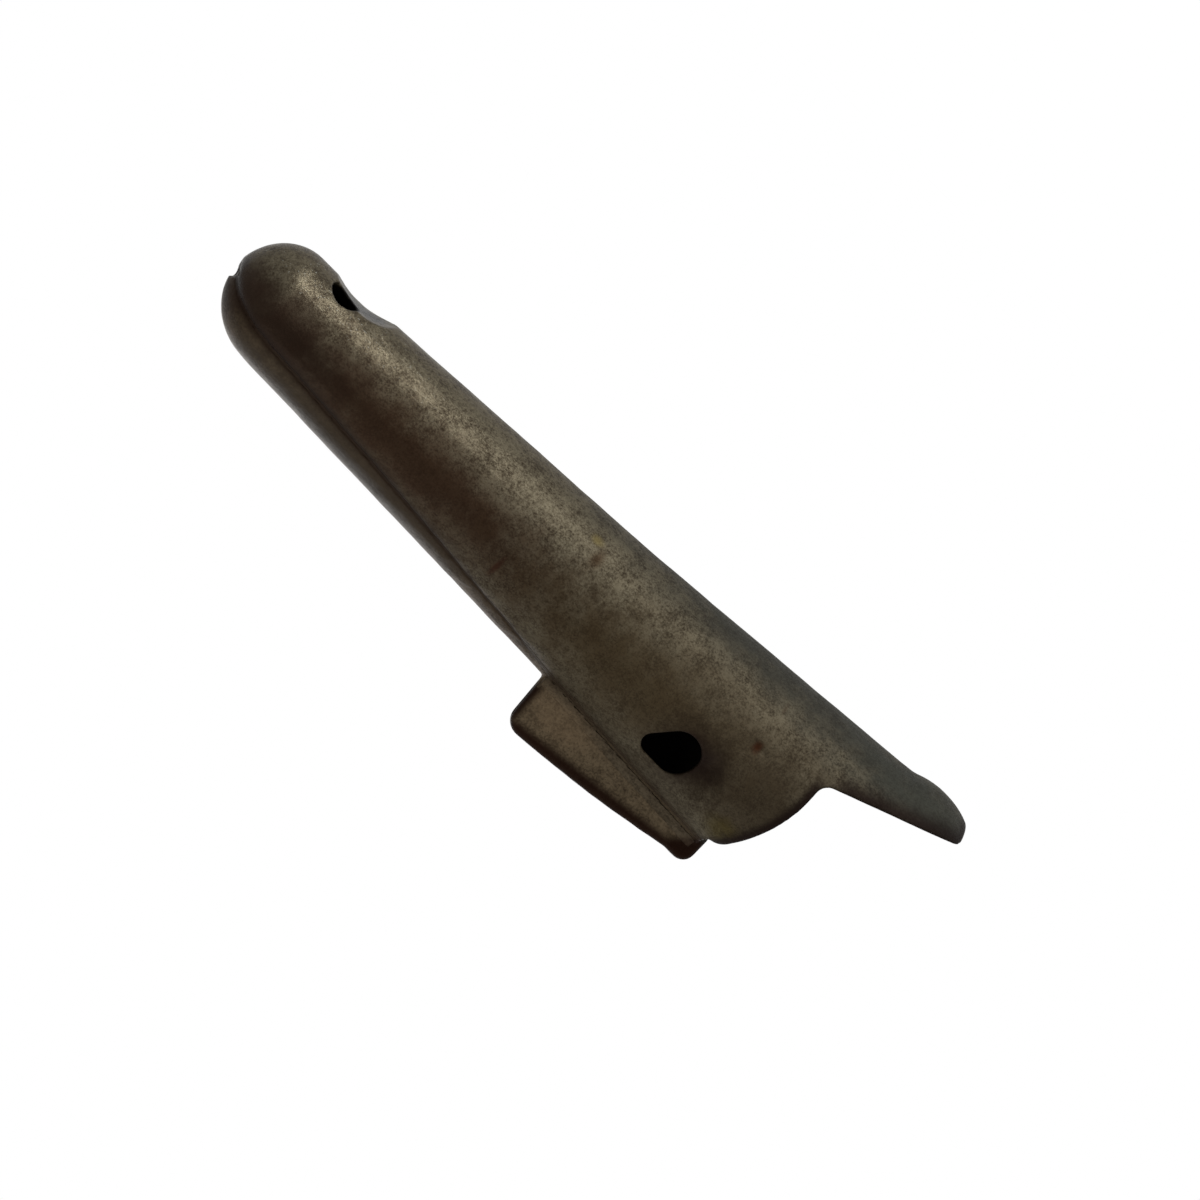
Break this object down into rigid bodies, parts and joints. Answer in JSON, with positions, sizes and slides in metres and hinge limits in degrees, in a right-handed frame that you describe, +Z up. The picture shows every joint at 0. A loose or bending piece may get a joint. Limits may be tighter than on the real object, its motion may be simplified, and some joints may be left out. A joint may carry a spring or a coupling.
{
  "type": "sap spile",
  "caption": "Tapered sheet-metal sap spile with a rounded nose, side inlet, standing fin, hook hole and open spoon lip.",
  "frame": {"origin": "on the barrel's axis, in the plane of the shoulder that stops against the bark", "axes": "+X along the barrel's axis to the lip, so the nose points along -X; +Z up, on the side of the fin; +Y to the side that the picture shows"},
  "size_m": [0.0849, 0.0188, 0.0238],
  "materials": {
    "shell_zinc": "dull weathered zinc on sheet steel, spangled, with reddish-brown stains",
    "keel_zinc": "dull weathered zinc, smoother and browner, with rusted edges",
    "solder": "dark dull solder and zinc"
  },
  "bodies": {
    "root": {"body_shell": "shell_zinc", "keel": "keel_zinc", "seam_solder": "solder"}
  },
  "joints": []
}
